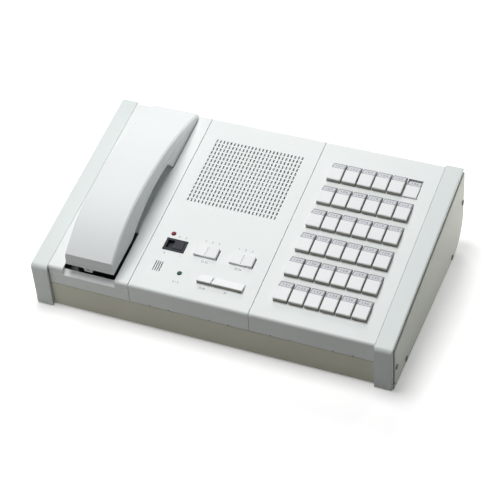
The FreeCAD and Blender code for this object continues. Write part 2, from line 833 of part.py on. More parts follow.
def make_control_panel():
    body = make_panel("control_panel", control_left, control_right)
    cut_tab_notches(body, control_middle)
    through = 2 * size.panel_wall
    openings = new_sketch(body, "XY_Plane", 0)
    clearance = size.key_slot_clearance
    for x, width in ((size.short_key_x, size.short_key_width), (size.long_key_x, size.long_key_width)):
        add_box(openings, x, size.call_key_front_s - clearance, width + 2 * clearance,
                size.call_key_length + 2 * clearance)
    for x in (size.left_rocker_x, size.right_rocker_x):
        add_box(openings, x, size.rocker_s - size.rocker_length / 2 - clearance,
                size.rocker_width + 2 * size.rocker_slot_clearance, size.rocker_length + 2 * clearance)
    add_box(openings, size.slide_x, size.rocker_s - size.bezel_length / 2 + size.bezel_rim,
            size.bezel_width - 2 * size.bezel_rim, size.bezel_length - 2 * size.bezel_rim)
    for x, s in ((size.red_lamp_x, size.red_lamp_s), (size.green_lamp_x, size.green_lamp_s)):
        add_polygon(openings, x, s, size.lamp_radius + size.lamp_clearance, DISC_SIDES)
    for step in range(int(SIZES["mic_slot_count"])):
        x = size.mic_slot_x + (step - (size.mic_slot_count - 1) / 2) * size.mic_slot_pitch
        add_box(openings, x, size.mic_slot_s - size.mic_slot_length / 2, size.mic_slot_width, size.mic_slot_length)
    pocket(body, openings, through)
    add_rocker_ears(body)
    boss_s = size.board_shoulder_s - size.boss_inset
    hang_bosses(body, [
        (board_left + size.boss_inset, boss_s),
        (control_right - size.boss_inset, boss_s),
        (board_left + size.boss_inset, board_front + size.boss_inset / 2),
        (control_right - size.boss_inset, board_front + size.boss_inset / 2),
    ])
    # The grille comes last, because every later step would have to work through its many faces
    first_x = control_middle - (size.grille_columns - 1) * size.grille_pitch_x / 2
    first_s = size.grille_middle_s - ((size.grille_rows - 1) * size.grille_pitch_s + size.grille_slot_length) / 2
    slot = box_pocket(body, "XY_Plane", 0, first_x, first_s, size.grille_slot_width, size.grille_slot_length, through)
    pattern(body, slot, [("X_Axis", size.grille_columns, size.grille_pitch_x),
                         ("Y_Axis", size.grille_rows, size.grille_pitch_s)])
    return body


def rocker_ear_places():
    """The two places along the slope where ears hold the pins of the rockers."""
    inner = size.rocker_length / 2 + size.key_slot_clearance
    return [size.rocker_s - inner - size.rocker_ear_thickness, size.rocker_s + inner]


def add_rocker_ears(body):
    """Ears under the panel with a bored hole for the pins of the two rockers."""
    reach = size.rocker_pivot_depth + size.rocker_ear_width / 2
    for s in rocker_ear_places():
        sketch = new_sketch(body, "XZ_Plane", -s)
        for x in (size.left_rocker_x, size.right_rocker_x):
            add_box(sketch, x, -reach, size.rocker_ear_width, reach - size.panel_wall / 2)
        pad(body, sketch, size.rocker_ear_thickness, backwards=True)
    for s in rocker_ear_places():
        sketch = new_sketch(body, "XZ_Plane", -s)
        for x in (size.left_rocker_x, size.right_rocker_x):
            add_circle(sketch, x, -size.rocker_pivot_depth, size.rocker_pin_radius + size.rocker_pin_clearance)
        pocket(body, sketch, size.rocker_ear_thickness)


front_well_middle = size.handset_middle_x - size.front_well_shift
rear_block_front = size.arch_rear + size.arch_step_run
rear_block_rear = size.handset_rear - size.tail_undercut
rear_well_width = size.handset_width + 2 * size.well_clearance
rear_well_front = rear_block_front - size.well_clearance
rear_well_length = rear_block_rear - rear_block_front + 2 * size.well_clearance
plunger_s = rear_well_front + size.plunger_from_well + size.plunger_width / 2


def add_sill(body):
    """The open notch in front of the front well, with a sill that falls from the well to the face of the lip."""
    low = size.sill_drop + size.sill_fall
    left = front_well_middle - size.well_width / 2
    block_low = low + size.panel_wall
    lip_middle = panel_front + size.panel_wall / 2
    block = new_sketch(body, "YZ_Plane", left - size.well_wall)
    add_outline(block, [
        (lip_middle, -size.panel_wall / 2),
        (size.front_well_front, -size.panel_wall / 2),
        (size.front_well_front, -block_low),
        (lip_middle - block_low * slope_rise, -block_low),
    ])
    pad(body, block, size.well_width + 2 * size.well_wall)
    notch = new_sketch(body, "YZ_Plane", left)
    add_outline(notch, [
        (panel_front - low, low),
        (panel_front - low, -low),
        (panel_front - low * slope_rise, -low),
        (size.front_well_front, -size.sill_drop),
        (size.front_well_front + low, -size.sill_drop),
        (size.front_well_front + low, low),
    ])
    pocket(body, notch, size.well_width, backwards=True)


def make_cradle_panel():
    body = make_panel("cradle_panel", cradle_left, cradle_right)
    wall = size.well_wall
    wells = [
        (front_well_middle, size.front_well_front, size.well_width, size.front_well_length,
         size.front_well_depth),
        (size.handset_middle_x, rear_well_front, rear_well_width, rear_well_length, size.rear_well_depth),
    ]
    for x, s, width, length, depth in wells:
        box_pad(body, "XY_Plane", -depth - wall, x, s - wall, width + 2 * wall, length + 2 * wall,
                depth + wall - size.panel_wall / 2)
        box_pocket(body, "XY_Plane", 0, x, s, width, length, depth)
    add_sill(body)
    box_pocket(body, "XY_Plane", -size.rear_well_depth, size.handset_middle_x, plunger_s - size.plunger_width / 2
               - size.free_gap, size.plunger_width + 2 * size.free_gap, size.plunger_width + 2 * size.free_gap,
               2 * wall)
    return body


key_panel = make_key_panel()
control_panel = make_control_panel()
cradle_panel = make_cradle_panel()


# Keys: a thin-walled cap with a stem, held from below by a ledge in front and behind
def make_key(name, x, width, front_s, top_corners, sink, stem_places):
    """top_corners are (distance from the front, height) pairs along the top; sink is how far the key rests down."""
    body = new_body(name)
    length = top_corners[-1][0]
    rear_s = front_s + length
    ledge = size.key_slot_clearance + size.key_ledge
    ledge_top = -size.panel_wall - size.free_gap - sink
    ledge_low = ledge_top - size.key_ledge_thickness
    sketch = new_sketch(body, "YZ_Plane", x - width / 2)
    add_outline(sketch, [(front_s + along, height - sink) for along, height in top_corners] + [
        (rear_s, ledge_top),
        (rear_s + ledge, ledge_top),
        (rear_s + ledge, ledge_low),
        (front_s - ledge, ledge_low),
        (front_s - ledge, ledge_top),
        (front_s, ledge_top),
    ])
    pad(body, sketch, width)
    front_top = top_corners[0][1] - sink
    dress_edges(body, "Chamfer", size.key_edge, lambda middle, start, end: (
        near(start.y, front_s) and near(end.y, front_s) and near(middle.z, front_top))
        or (near(start.x, end.x) and abs(start.y - end.y) > 1 and min(start.z, end.z) > ledge_top.value + 1))
    wall = size.key_wall
    hollow_top = -size.key_hollow_drop - sink
    box_pocket(body, "XY_Plane", ledge_low, x, front_s + wall, width - 2 * wall, length - 2 * wall,
               hollow_top - ledge_low, backwards=True)
    stem_low = board_top + size.switch_height - size.stem_reach - sink
    for stem_x in stem_places:
        box_pad(body, "XY_Plane", stem_low, stem_x, front_s + length / 2 - size.stem_width / 2,
                size.stem_width, size.stem_width, hollow_top - stem_low + wall / 2)
    return body


station_top = [(as_size(0), size.key_front_height), (size.key_cap_length, size.key_front_height),
               (size.key_length, size.key_rear_height)]
call_top = [(as_size(0), size.call_key_height), (size.call_key_length, size.key_rear_height)]
station_keys = []
for row in range(int(SIZES["key_rows"])):
    for column in range(int(SIZES["key_columns"])):
        latched = row == LATCHED_ROW and column == LATCHED_COLUMN
        key_x = first_column + column * size.key_pitch_x
        key_s = key_row_front + row * size.key_pitch_s
        number = (int(SIZES["key_rows"]) - 1 - row) * int(SIZES["key_columns"]) + column + 1
        station_keys.append(make_key("station_key_%02d" % number, key_x, size.key_width, key_s, station_top,
                                     size.key_travel if latched else as_size(0), [key_x]))
short_key = make_key("short_key", size.short_key_x, size.short_key_width, size.call_key_front_s, call_top,
                     as_size(0), [size.short_key_x])
long_key = make_key("long_key", size.long_key_x, size.long_key_width, size.call_key_front_s, call_top,
                    as_size(0), [size.long_key_x])


# Circuit board with one switch housing under every key
def make_circuit_board():
    body = new_body("circuit_board")
    sketch = new_sketch(body, "XY_Plane", board_top - size.board_thickness)
    add_outline(sketch, [
        (board_left, board_front),
        (board_right, board_front),
        (board_right, board_rear),
        (board_shoulder, board_rear),
        (board_shoulder, size.board_shoulder_s),
        (board_left, size.board_shoulder_s),
    ])
    pad(body, sketch, size.board_thickness)
    outer = size.switch_width
    inner = size.stem_width + 2 * size.free_gap

    def add_switch(sketch, x, front_s, length):
        middle = front_s + length / 2
        add_box(sketch, x, middle - outer / 2, outer, outer)
        add_box(sketch, x, middle - inner / 2, inner, inner)

    sketch = new_sketch(body, "XY_Plane", board_top)
    add_switch(sketch, size.short_key_x, size.call_key_front_s, size.call_key_length)
    add_switch(sketch, size.long_key_x, size.call_key_front_s, size.call_key_length)
    pad(body, sketch, size.switch_height)
    sketch = new_sketch(body, "XY_Plane", board_top)
    add_switch(sketch, first_column, key_row_front, size.key_length)
    switch = pad(body, sketch, size.switch_height)
    pattern(body, switch, [("X_Axis", size.key_columns, size.key_pitch_x),
                           ("Y_Axis", size.key_rows, size.key_pitch_s)])
    return body


circuit_board = make_circuit_board()


# Rocker keys, which tilt about a pin that runs up the slope
def make_rocker(name, x):
    body = new_body(name)
    half = size.rocker_width / 2
    front = size.rocker_s - size.rocker_length / 2
    wing = -size.rocker_wing_depth
    keel = -size.rocker_pivot_depth - size.rocker_pin_radius - size.rocker_wing_depth / 2
    lobe_end = size.rocker_groove / 2
    lobe_low = size.rocker_end_height - size.rocker_dip
    sketch = new_sketch(body, "XZ_Plane", -front)
    add_outline(sketch, [
        (x - half, wing),
        (x - half, size.rocker_end_height),
        (x - lobe_end, lobe_low),
        (x, lobe_low - size.rocker_groove / 2),
        (x + lobe_end, lobe_low),
        (x + half, size.rocker_end_height),
        (x + half, wing),
        (x + size.rocker_ear_width / 2, keel),
        (x - size.rocker_ear_width / 2, keel),
    ])
    pad(body, sketch, size.rocker_length, backwards=True)
    dress_edges(body, "Chamfer", size.key_edge, lambda middle, start, end: (
        near(start.y, end.y) is False and (near(middle.x, x - half) or near(middle.x, x + half)) and middle.z > 0))
    reach = size.key_slot_clearance + size.rocker_ear_thickness
    round_pad(body, "XZ_Plane", -front + reach, x, -size.rocker_pivot_depth, size.rocker_pin_radius,
              size.rocker_length + 2 * reach, backwards=True)
    return body


left_rocker = make_rocker("left_rocker", size.left_rocker_x)
right_rocker = make_rocker("right_rocker", size.right_rocker_x)


# Slide switch: a framed well with a ribbed knob that rests at its right end
def make_switch_bezel():
    body = new_body("switch_bezel")
    width, length, rim = size.bezel_width, size.bezel_length, size.bezel_rim
    low_s = size.rocker_s - length / 2
    box_pad(body, "XY_Plane", 0, size.slide_x, low_s, width, length, size.bezel_height)
    dress_edges(body, "Chamfer", size.bezel_height / 2, lambda middle, start, end: near(middle.z, size.bezel_height))
    inset = rim + size.free_gap
    box_pad(body, "XY_Plane", -size.bezel_body_depth, size.slide_x, low_s + inset, width - 2 * inset,
            length - 2 * inset, size.bezel_body_depth)
    inset = rim + size.free_gap + rim
    box_pocket(body, "XY_Plane", size.bezel_height, size.slide_x, low_s + inset, width - 2 * inset,
               length - 2 * inset, size.bezel_height + size.bezel_well_depth)
    return body


def make_slide_knob():
    body = new_body("slide_knob")
    inset = 2 * size.bezel_rim + 2 * size.free_gap
    length = size.bezel_length - 2 * inset
    low_s = size.rocker_s - length / 2
    middle = size.slide_x + size.bezel_width / 2 - inset - size.knob_width / 2
    low_n = -size.bezel_well_depth + size.free_gap / 3
    height = size.knob_height - low_n
    box_pad(body, "XY_Plane", low_n, middle, low_s, size.knob_width, length, height)
    pitch = size.knob_width / (size.rib_count + 1)
    first = middle - pitch * (size.rib_count - 1) / 2
    groove = box_pocket(body, "XY_Plane", size.knob_height, first, low_s, pitch / 2, length, size.rib_depth)
    pattern(body, groove, [("X_Axis", size.rib_count, pitch)])
    return body


switch_bezel = make_switch_bezel()
slide_knob = make_slide_knob()


# Lamps: a lens with a bevelled top and a flange under the panel
def make_lamp(name, x, s):
    body = new_body(name)
    low = -size.panel_wall - size.lamp_body
    polygon_pad(body, "XY_Plane", low, x, s, size.lamp_radius, size.lamp_height - low, DISC_SIDES)
    dress_edges(body, "Chamfer", size.lamp_lead, lambda middle, start, end: near(middle.z, size.lamp_height))
    polygon_pad(body, "XY_Plane", -size.panel_wall, x, s, size.lamp_radius + size.lamp_flange, size.lamp_flange,
                DISC_SIDES, backwards=True)
    return body


red_lamp = make_lamp("red_lamp", size.red_lamp_x, size.red_lamp_s)
green_lamp = make_lamp("green_lamp", size.green_lamp_x, size.green_lamp_s)


# Loudspeaker under the grille: frame, basket and magnet, one below the other
def make_speaker():
    body = new_body("speaker")
    rim_low = -size.panel_wall - size.speaker_flange
    basket_low = rim_low - size.speaker_basket_depth
    for radius, low, height in (
            (size.speaker_radius, rim_low, size.speaker_flange),
            (size.basket_radius, basket_low, size.speaker_basket_depth),
            (size.magnet_radius, basket_low - size.magnet_height, size.magnet_height)):
        polygon_pad(body, "XY_Plane", low, control_middle, size.grille_middle_s, radius, height, DISC_SIDES)
    return body


speaker = make_speaker()


# Hook plunger under the rear block of the handset
def make_hook_plunger():
    body = new_body("hook_plunger")
    top = -size.rear_well_depth - size.free_gap
    width = size.plunger_width
    box_pad(body, "XY_Plane", top - size.plunger_skirt, size.handset_middle_x, plunger_s - width / 2,
            width, width, size.plunger_skirt)
    dress_edges(body, "Chamfer", size.key_edge, lambda middle, start, end: near(middle.z, top))
    foot = width + 4 * size.free_gap + size.well_wall
    box_pad(body, "XY_Plane", top - size.plunger_skirt, size.handset_middle_x, plunger_s - foot / 2,
            foot, foot, size.well_wall)
    return body


hook_plunger = make_hook_plunger()


# Handset: both shells share one side profile that is split along a line above the lower edge
end_low = (size.handset_front, size.end_face_low)
end_high = (size.handset_front + size.end_face_lean, size.end_face_high)
crown = (size.crown_s, size.crown_height)
tail_high = (size.handset_rear, size.tail_height)
split_front = size.arch_front_height + size.shell_skirt
split_rear = size.arch_rear_height + size.shell_skirt
split_lean = (split_front - size.end_face_low) / (size.end_face_high - size.end_face_low) * size.end_face_lean
handset_left = size.handset_middle_x - size.handset_width / 2


def level_radius(run, rise):
    """The radius of an arc over a given run and rise that is level at its higher end."""
    return run / sine(2 * slope_of(rise, run))


def make_outer_shell():
    """Upper half: its back rises in one arc to the crown and falls in a longer one to the thin tail."""
    body = new_body("handset_outer_shell")
    sketch = new_sketch(body, "YZ_Plane", handset_left)
    add_outline(sketch, [
        (size.handset_front + split_lean, split_front),
        end_high,
        crown,
        tail_high,
        (size.handset_rear, size.tail_split),
        (size.arch_rear, split_rear),
        (size.arch_front, split_front),
    ], {
        1: (level_radius(crown[0] - end_high[0], crown[1] - end_high[1]), 1),
        2: (level_radius(tail_high[0] - crown[0], crown[1] - tail_high[1]), 1),
        5: (size.arch_radius, -1),
    })
    pad(body, sketch, size.handset_width)
    back_low = (end_high[1] + crown[1]) / 2
    dress_edges(body, "Chamfer", size.handset_edge, lambda middle, start, end: (
        near(start.x, end.x) and middle.z > back_low.value))
    wall = size.handset_wall
    hollow = new_sketch(body, "YZ_Plane", handset_left + wall)
    below = split_front - wall
    front = end_high[0] + wall
    front_high = end_high[1] - wall
    rear = tail_high[0] - 3 * wall
    roof = crown[1] - wall
    add_outline(hollow, [
        (front, below),
        (front, front_high),
        (crown[0], roof),
        (rear, size.tail_height),
        (rear, size.tail_split - wall),
        (size.arch_rear, split_rear - wall),
        (size.arch_front, below),
    ], {
        1: (level_radius(crown[0] - front, roof - front_high), 1),
        2: (level_radius(rear - crown[0], roof - size.tail_height), 1),
        5: (size.arch_radius, -1),
    })
    pocket(body, hollow, size.handset_width - 2 * wall, backwards=True)
    return body


def make_inner_shell():
    """Lower half: the grip arch with a block at each end, hollow, with a tongue inside the outer shell."""
    body = new_body("handset_inner_shell")
    seam = size.free_gap
    wall = size.handset_wall
    sketch = new_sketch(body, "YZ_Plane", handset_left)
    add_outline(sketch, [
        end_low,
        (size.handset_front + split_lean, split_front - seam),
        (size.arch_front, split_front - seam),
        (size.arch_rear, split_rear - seam),
        (size.handset_rear, size.tail_split - seam),
        (size.handset_rear, size.tail_clearance),
        (rear_block_rear, size.tail_clearance),
        (rear_block_rear, -size.rear_well_depth),
        (rear_block_front, -size.rear_well_depth),
        (rear_block_front, size.tail_clearance),
        (size.arch_rear, size.arch_rear_height),
        (size.arch_front, size.arch_front_height),
    ], {2: (size.arch_radius, 1), 10: (size.arch_radius, -1)})
    pad(body, sketch, size.handset_width)
    box_pad(body, "XY_Plane", -size.front_well_depth, size.handset_middle_x, size.mouth_block_front,
            size.mouth_block_width, size.mouth_block_length, size.front_well_depth + size.arch_front_height + wall)
    tongue = new_sketch(body, "YZ_Plane", handset_left + wall + size.tongue_play)
    inner_front = end_high[0] + wall + size.tongue_play
    tongue_rear = tail_high[0] - 3 * wall - size.tongue_play
    add_outline(tongue, [
        (inner_front, split_front - wall),
        (inner_front, split_front + wall),
        (size.arch_front, split_front + wall),
        (size.arch_rear, split_rear + wall),
        (tongue_rear, size.tail_split + wall),
        (tongue_rear, size.tail_split - wall),
        (size.arch_rear, split_rear - wall),
        (size.arch_front, split_front - wall),
    ], {2: (size.arch_radius, 1), 6: (size.arch_radius, -1)})
    pad(body, tongue, size.handset_width - 2 * wall - 2 * size.tongue_play)
    hollow = new_sketch(body, "YZ_Plane", handset_left + 2 * wall)
    arch_floor_front = size.arch_front_height + wall
    arch_floor_rear = size.arch_rear_height + wall
    add_outline(hollow, [
        (inner_front + wall, arch_floor_front),
        (inner_front + wall, size.crown_height),
        (rear_block_rear - wall, size.crown_height),
        (rear_block_rear - wall, wall - size.rear_well_depth),
        (rear_block_front + wall, wall - size.rear_well_depth),
        (rear_block_front + wall, size.tail_clearance),
        (size.arch_rear, arch_floor_rear),
        (size.arch_front, arch_floor_front),
    ], {6: (size.arch_radius, -1)})
    pocket(body, hollow, size.handset_width - 4 * wall, backwards=True)
    box_pocket(body, "XY_Plane", wall - size.front_well_depth, size.handset_middle_x,
               size.mouth_block_front + wall, size.mouth_block_width - 2 * wall, size.mouth_block_length - 2 * wall,
               size.front_well_depth + arch_floor_front, backwards=True)
    return body


def cut_sound_holes(body):
    """Receiver dish with its ring of holes, and the slots for the mouthpiece."""
    sketch = new_sketch(body, "XY_Plane", -size.rear_well_depth)
    add_circle(sketch, size.handset_middle_x, size.ear_middle, size.ear_dish_radius)
    pocket(body, sketch, size.ear_dish_depth, backwards=True)
    sketch = new_sketch(body, "XY_Plane", -size.rear_well_depth)
    add_polygon(sketch, size.handset_middle_x, size.ear_middle, size.ear_hole_radius, POST_SIDES)
    for step in range(EAR_RING_HOLES):
        turn = as_size(360 * step / EAR_RING_HOLES)
        add_polygon(sketch, size.handset_middle_x + size.ear_hole_circle * cosine(turn),
                    size.ear_middle + size.ear_hole_circle * sine(turn), size.ear_hole_radius, POST_SIDES)
    pocket(body, sketch, 2 * size.handset_wall, backwards=True)
    mouth_middle = size.mouth_block_front + size.mouth_block_length / 2
    sketch = new_sketch(body, "XY_Plane", -size.front_well_depth)
    for step in range(MOUTH_SLOTS):
        s = mouth_middle + (step - (MOUTH_SLOTS - 1) / 2) * size.mouth_slot_pitch - size.mouth_slot_width / 2
        add_box(sketch, size.handset_middle_x, s, size.mouth_slot_length, size.mouth_slot_width)
    pocket(body, sketch, 2 * size.handset_wall, backwards=True)


def add_jack(body):
    """Small socket boss under the front end, with its mouth to the front."""
    x = size.handset_middle_x + size.jack_offset_x
    box_pad(body, "XY_Plane", size.end_face_low - size.jack_drop, x, size.handset_front + size.jack_setback,
            size.jack_width, size.jack_length, size.jack_drop)
    box_pocket(body, "XZ_Plane", -size.handset_front, x, size.end_face_low - size.jack_drop / 2
               - size.jack_hole_height / 2, size.jack_hole_width, size.jack_hole_height, size.jack_hole_depth)


def make_capsules():
    """Receiver and microphone capsule, each resting on the floor of its block."""
    receiver = new_body("receiver_capsule")
    floor = size.handset_wall - size.rear_well_depth
    polygon_pad(receiver, "XY_Plane", floor, size.handset_middle_x, size.ear_middle, size.capsule_radius,
                size.capsule_thickness, DISC_SIDES)
    microphone = new_body("microphone_capsule")
    mouth_middle = size.mouth_block_front + size.mouth_block_length / 2
    polygon_pad(microphone, "XY_Plane", size.handset_wall - size.front_well_depth, size.handset_middle_x,
                mouth_middle, size.mic_radius, size.mic_thickness, DISC_SIDES)
    return [receiver, microphone]


handset_outer_shell = make_outer_shell()
handset_inner_shell = make_inner_shell()
cut_sound_holes(handset_inner_shell)
add_jack(handset_inner_shell)
handset_capsules = make_capsules()


def gather(name, bodies):
    """One node that holds several separate solids."""
    compound = doc.addObject("Part::Compound", name)
    compound.Label = name
    compound.Links = bodies
    return compound


nodes = [
    base_pan, left_cheek, right_cheek, gather("side_plates", side_plates), gather("side_screws", side_screws),
    gather("feet", feet), rear_socket, cradle_panel, control_panel, key_panel, circuit_board, speaker,
    switch_bezel, slide_knob, left_rocker, right_rocker, short_key, long_key, red_lamp, green_lamp,
    hook_plunger, handset_outer_shell, handset_inner_shell, gather("handset_capsules", handset_capsules),
] + station_keys
doc.recompute()

problems = [item.Label for item in doc.Objects if any(state in item.State for state in FAILED_STATES)]
for node in nodes:
    if node.Shape.isNull() or not node.Shape.isValid() or node.Shape.Volume <= 0:
        problems.append(node.Label)
    solids = len(node.Links) if node.TypeId == "Part::Compound" else 1
    if len(node.Shape.Solids) != solids:
        problems.append("%s has %d solids" % (node.Label, len(node.Shape.Solids)))
if problems:
    raise RuntimeError("failed objects: " + ", ".join(problems))

os.makedirs("parts", exist_ok=True)
for node in nodes:
    node.Shape.exportStep("parts/%s.step" % node.Label)
print("wrote %d nodes" % len(nodes))
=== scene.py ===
"""Studio scene of the desk intercom console: materials, labels, lamps, floor and camera."""
import math

import bpy
from mathutils import Matrix, Vector


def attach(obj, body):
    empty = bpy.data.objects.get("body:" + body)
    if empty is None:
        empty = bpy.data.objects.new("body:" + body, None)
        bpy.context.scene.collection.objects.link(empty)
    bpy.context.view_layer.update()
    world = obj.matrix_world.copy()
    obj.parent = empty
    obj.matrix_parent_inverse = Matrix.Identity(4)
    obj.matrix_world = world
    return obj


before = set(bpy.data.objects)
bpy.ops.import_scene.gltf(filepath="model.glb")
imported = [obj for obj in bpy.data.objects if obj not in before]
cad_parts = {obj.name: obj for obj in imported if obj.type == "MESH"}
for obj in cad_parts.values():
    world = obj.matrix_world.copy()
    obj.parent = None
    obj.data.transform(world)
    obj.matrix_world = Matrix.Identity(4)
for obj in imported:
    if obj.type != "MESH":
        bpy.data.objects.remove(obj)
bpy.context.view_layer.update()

# Metres in a millimetre
MM = 0.001

# Sizes of the model that the pieces of this scene follow, in millimetres
BODY_DEPTH = 220.0
FRONT_HEIGHT = 51.0
REAR_HEIGHT = 91.5

# The sloping top has its own frame: x across, s up the slope from the front edge, n square to it
SLOPE_ANGLE = math.atan((REAR_HEIGHT - FRONT_HEIGHT) / BODY_DEPTH)
FRONT_EDGE = (0, -BODY_DEPTH / 2 * MM, FRONT_HEIGHT * MM)
SLOPE = Matrix.Translation(FRONT_EDGE) @ Matrix.Rotation(SLOPE_ANGLE, 4, "X")

# Selector keys: thirty-six caps with a sloping label strip behind
KEY_COLUMNS = 6
KEY_ROWS = 6
KEY_PITCH_X = 15.45
KEY_PITCH_S = 29.9
KEY_WIDTH = 13.9
KEY_LENGTH = 23.0
KEY_CAP_LENGTH = 14.0
KEY_FRONT_HEIGHT = 4.6
KEY_REAR_HEIGHT = 0.9
KEY_TRAVEL = 3.0
KEY_FRONT_S = 25.0
KEY_PANEL_SIDES = (42.9, 166.0)
KEY_FIELD_OFFSET = 0.6
KEY_FIELD_MIDDLE = sum(KEY_PANEL_SIDES) / 2 + KEY_FIELD_OFFSET
LATCHED_KEY = 6


def on_slope(x, s, n):
    """A matrix that puts an object on the sloping top, from millimetres."""
    return SLOPE @ Matrix.Translation((x * MM, s * MM, n * MM))


# Sockets of a mix node that carry the factor, the two colours and the mixed colour
MIX_INPUTS = (0, 6, 7)
MIX_RESULT = 2


class Nodes:
    """A short way to build a shader: add() makes a node and link() joins two sockets."""

    def __init__(self, owner):
        owner.use_nodes = True
        self.tree = owner.node_tree
        self.tree.nodes.clear()

    def add(self, kind, **values):
        """A new node; each value goes to the input of that name, or else to the setting."""
        node = self.tree.nodes.new(kind)
        for name, value in values.items():
            if name in node.inputs:
                node.inputs[name].default_value = value
            else:
                setattr(node, name, value)
        return node

    def link(self, source, target):
        self.tree.links.new(source, target)

    def math(self, operation, *values):
        """The result of a sum, from up to three numbers or sockets."""
        node = self.add("ShaderNodeMath", operation=operation)
        for socket, value in zip(node.inputs, values):
            if isinstance(value, (int, float)):
                socket.default_value = value
            else:
                self.link(value, socket)
        return node.outputs[0]

    def mix(self, factor, first, second):
        """Mixes two colours, each a tuple or a socket."""
        node = self.add("ShaderNodeMix", data_type="RGBA")
        factor_socket, first_socket, second_socket = (node.inputs[index] for index in MIX_INPUTS)
        self.link(factor, factor_socket)
        for socket, colour in ((first_socket, first), (second_socket, second)):
            if isinstance(colour, tuple):
                socket.default_value = (*colour, 1.0)
            else:
                self.link(colour, socket)
        return node.outputs[MIX_RESULT]

    def between(self, value, low, high):
        """1 where a value lies between two limits, else 0."""
        above = self.math("GREATER_THAN", value, low)
        below = self.math("LESS_THAN", value, high)
        return self.math("MULTIPLY", above, below)

    def fade(self, value, start, end):
        """Rises evenly from 0 at start to 1 at end."""
        node = self.add("ShaderNodeMapRange")
        self.link(value, node.inputs["Value"])
        node.inputs["From Min"].default_value = start
        node.inputs["From Max"].default_value = end
        return node.outputs[0]

    def noise(self, place, scale, detail):
        """Soft noise between 0 and 1; scale is in waves for each metre."""
        node = self.add("ShaderNodeTexNoise", Scale=scale, Detail=detail)
        self.link(place, node.inputs["Vector"])
        return node.outputs["Fac"]

    def slope_part(self, place, axis):
        """The s or n coordinate of a surface point, in metres."""
        shifted = self.add("ShaderNodeVectorMath", operation="SUBTRACT")
        self.link(place, shifted.inputs[0])
        shifted.inputs[1].default_value = FRONT_EDGE
        along = self.add("ShaderNodeVectorMath", operation="DOT_PRODUCT")
        self.link(shifted.outputs[0], along.inputs[0])
        if axis == "s":
            along.inputs[1].default_value = (0, math.cos(SLOPE_ANGLE), math.sin(SLOPE_ANGLE))
        else:
            along.inputs[1].default_value = (0, -math.sin(SLOPE_ANGLE), math.cos(SLOPE_ANGLE))
        return along.outputs["Value"]

    def seen_as_background(self):
        """1 for a ray from the camera or one sent on by gloss or glass, else 0."""
        path = self.add("ShaderNodeLightPath")
        seen = self.math("MAXIMUM", path.outputs["Is Camera Ray"], path.outputs["Is Glossy Ray"])
        return self.math("MAXIMUM", seen, path.outputs["Is Transmission Ray"])


def new_surface(name):
    """A material whose principled shader is joined to its output, with the socket of object places."""
    material = bpy.data.materials.new(name)
    nodes = Nodes(material)
    place = nodes.add("ShaderNodeTexCoord").outputs["Object"]
    shader = nodes.add("ShaderNodeBsdfPrincipled")
    output = nodes.add("ShaderNodeOutputMaterial")
    nodes.link(shader.outputs[0], output.inputs[0])
    return material, nodes, place, shader


def shade(colour, amount):
    """A colour made lighter or darker."""
    return tuple(min(1.0, channel * amount) for channel in colour)


# Surface of moulded plastic and paint; scales are in waves for each metre
CLOUD_SCALE = 14.0
CLOUD_DETAIL = 4.0
GLOSS_SCALE = 60.0
GLOSS_DETAIL = 3.0
GLOSS_SPREAD = 0.12
FINE_GRAIN = 2600.0
PAINT_GRAIN = 1400.0
GRAIN_DETAIL = 2.0
GRAIN_DEPTH = 0.1 * MM


def moulded(name, colour, roughness, grain, spread=0.03, grain_scale=FINE_GRAIN, specular=0.5, mask=None):
    """Moulded plastic: faint clouding, fine grain and uneven gloss; mask may repaint a region."""
    material, nodes, place, shader = new_surface(name)
    shader.inputs["Specular IOR Level"].default_value = specular
    cloud = nodes.noise(place, CLOUD_SCALE, CLOUD_DETAIL)
    base = nodes.mix(cloud, shade(colour, 1 - spread), shade(colour, 1 + spread))
    if mask:
        base = mask(nodes, place, base)
    nodes.link(base, shader.inputs["Base Color"])
    gloss = nodes.noise(place, GLOSS_SCALE, GLOSS_DETAIL)
    rough = nodes.math("MULTIPLY_ADD", gloss, GLOSS_SPREAD, roughness - GLOSS_SPREAD / 2)
    nodes.link(rough, shader.inputs["Roughness"])
    bump = nodes.add("ShaderNodeBump", Strength=grain, Distance=GRAIN_DEPTH)
    nodes.link(nodes.noise(place, grain_scale, GRAIN_DETAIL), bump.inputs["Height"])
    nodes.link(bump.outputs["Normal"], shader.inputs["Normal"])
    return material


# Colours, as linear values
PANEL = (0.79, 0.825, 0.82)
CHEEK = (0.695, 0.745, 0.735)
PLATE = (0.56, 0.585, 0.53)
BASE = (0.66, 0.655, 0.555)
HANDSET = (0.79, 0.82, 0.825)
KEY = (0.80, 0.82, 0.825)
# Painted shade on the lower sides of the keys
PAINTED_KEY_SHADE = (0.32, 0.32, 0.27)
CARD = (0.60, 0.62, 0.65)
# Dark plate under each label card; its rim around the card is painted shadow
LABEL_EDGE_SHADE = (0.22, 0.23, 0.26)
INK = (0.05, 0.06, 0.08)
# Black plastic; the same black is also painted shade in the wells and on the microphone block
DARK = (0.012, 0.012, 0.013)
SLATE = (0.030, 0.033, 0.042)
KNOB_GREY = (0.055, 0.058, 0.068)
# Painted shade at the back of the cradle's wells
WELL_SHADE_GREY = (0.20, 0.21, 0.22)
# Painted highlight on the sill in front of the wells
SILL_HIGHLIGHT = (0.93, 0.96, 0.98)
SCREW = (0.10, 0.10, 0.10)
RUBBER = (0.02, 0.02, 0.02)
BOARD_GREEN = (0.02, 0.09, 0.04)
RED_LENS = (0.20, 0.015, 0.025)
GREEN_LENS = (0.012, 0.095, 0.04)
LIGHT_THREAD = (0.44, 0.44, 0.45)
DARK_THREAD = (0.30, 0.30, 0.307)

# Wells of the cradle, where shade is painted, in millimetres of the slope's frame: inside the lips and
# below the top
WELL_FRONT = 7.85
WELL_REAR = 214.6
WELL_TOP = -1.3
WELL_FADE_START = 34.0
WELL_FADE_END = 62.0

